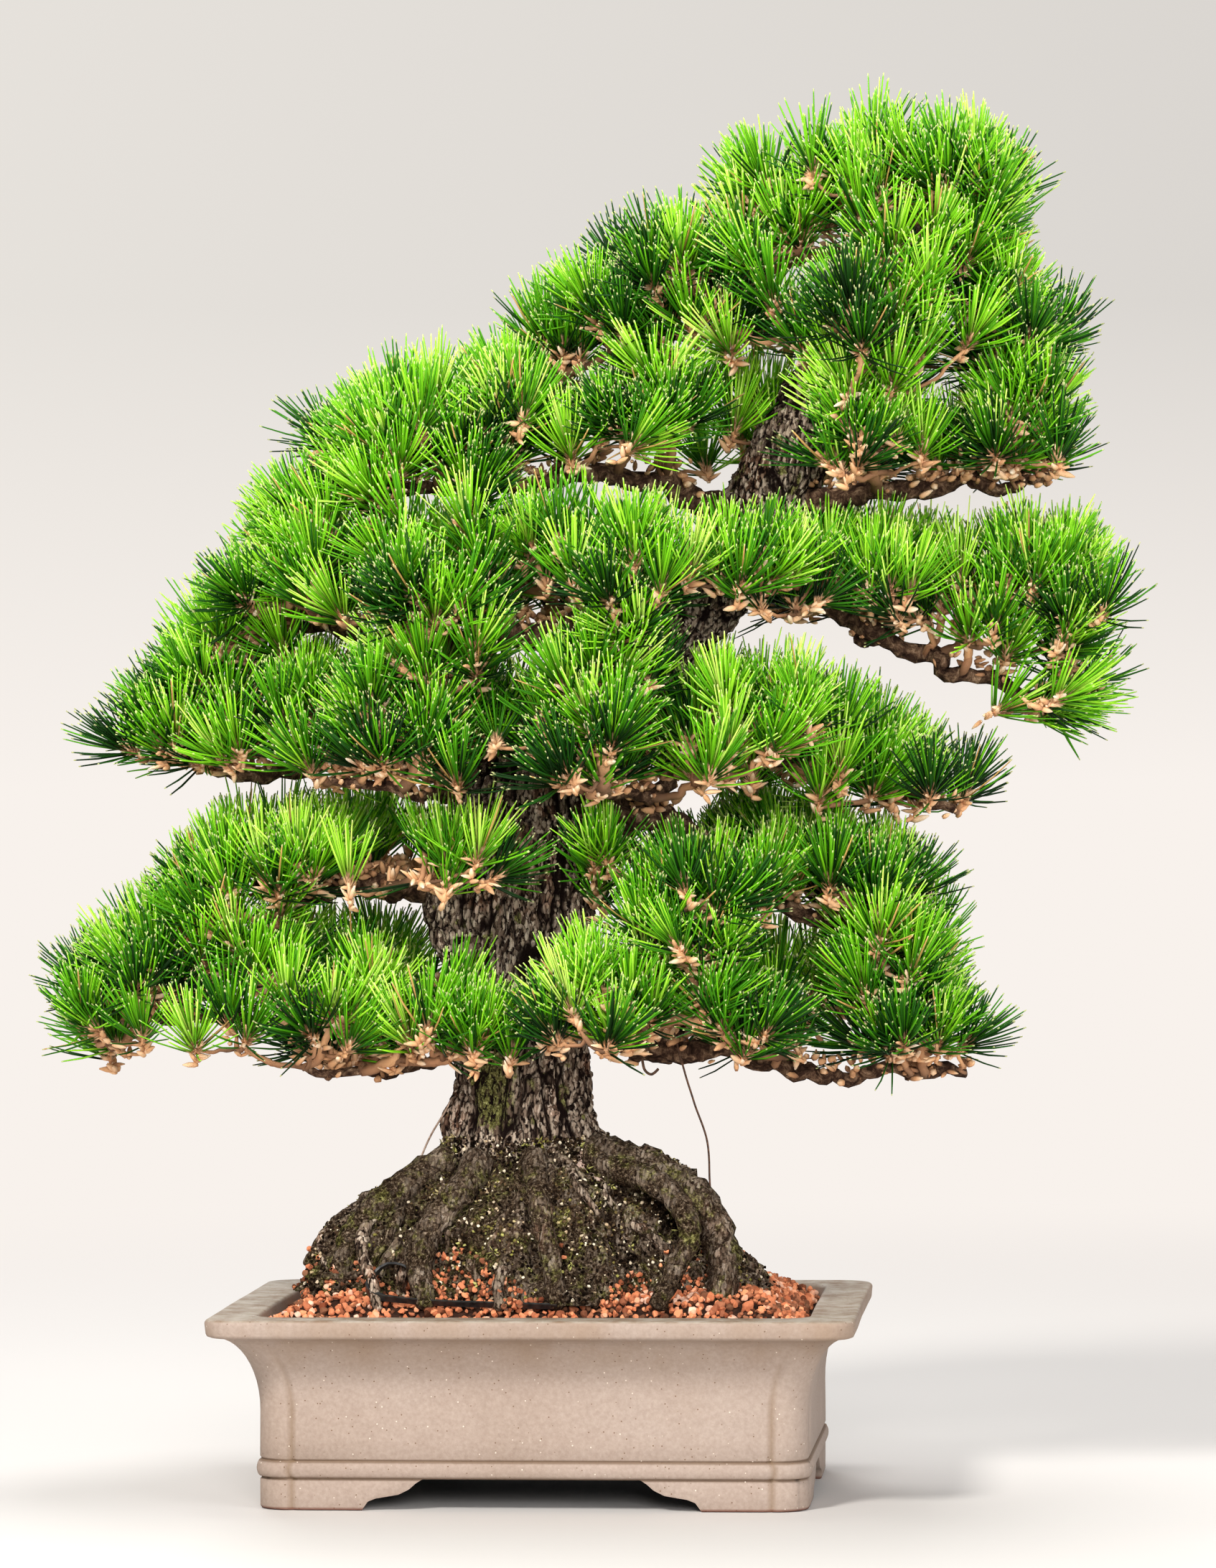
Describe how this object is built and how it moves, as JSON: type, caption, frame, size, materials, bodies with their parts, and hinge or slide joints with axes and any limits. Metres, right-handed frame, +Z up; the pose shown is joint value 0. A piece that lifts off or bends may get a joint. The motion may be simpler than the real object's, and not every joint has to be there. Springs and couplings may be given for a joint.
{
  "type": "potted pine bonsai",
  "caption": "Pine bonsai with a leaning trunk, tiered needle pads and mossy root mound in a rectangular unglazed clay pot with a flared lip and cut-out feet.",
  "frame": {"origin": "on the ground, at the middle of the whole object's box", "axes": "+Z up, front of the tree towards -Y, trunk leans towards +X"},
  "size_m": [0.6428, 0.322, 0.8076],
  "materials": {
    "clay": "unglazed, matte, stained",
    "akadama": "porous fired-looking clay grains, moist",
    "trunk_bark": "deeply fissured bark with moss",
    "branch_bark": "scaly bark",
    "needles": "waxy green needles",
    "black_plastic": "satin",
    "rusty_wire": "rusted",
    "pale_wire": "dull",
    "clip_wire": "satin"
  },
  "bodies": {
    "root": {"branch_back": "branch_bark", "branch_high_left": "branch_bark", "branch_high_right": "branch_bark", "branch_left": "branch_bark", "branch_low_left": "branch_bark", "branch_low_right": "branch_bark", "branch_mid_left": "branch_bark", "branch_mid_right": "branch_bark", "branch_right": "branch_bark", "branch_upper_left": "branch_bark", "branch_upper_right": "branch_bark", "cable_tie": "black_plastic", "drain_mesh_clip_left": "clip_wire", "drain_mesh_clip_right": "clip_wire", "drain_mesh_left": "black_plastic", "drain_mesh_right": "black_plastic", "guy_wire_left": "pale_wire", "guy_wire_right": "rusty_wire", "needles_apex_back": "needles", "needles_apex_front": "needles", "needles_apex_left": "needles", "needles_apex_right": "needles", "needles_apex_top": "needles", "needles_back_left": "needles", "needles_back_right": "needles", "needles_centre_front": "needles", "needles_high_back": "needles", "needles_high_left": "needles", "needles_high_left_inner": "needles", "needles_high_right_front": "needles", "needles_high_right_outer": "needles", "needles_left_front": "needles", "needles_left_outer": "needles", "needles_low_centre": "needles", "needles_low_left_back": "needles", "needles_low_left_front": "needles", "needles_low_left_outer": "needles", "needles_low_right_back": "needles", "needles_low_right_front": "needles", "needles_low_right_outer": "needles", "needles_mid_front": "needles", "needles_mid_left": "needles", "needles_mid_left_back": "needles", "needles_mid_right_back": "needles", "needles_mid_right_front": "needles", "needles_mid_right_outer": "needles", "needles_right_front": "needles", "needles_right_outer": "needles", "needles_upper_centre_front": "needles", "needles_upper_left_back": "needles", "needles_upper_left_front": "needles", "needles_upper_left_outer": "needles", "needles_upper_right_back": "needles", "needles_upper_right_front": "needles", "needles_upper_right_mid": "needles", "needles_upper_right_outer": "needles", "pot": "clay", "soil": "akadama", "training_wire_end": "rusty_wire", "trunk": "trunk_bark"}
  },
  "joints": []
}
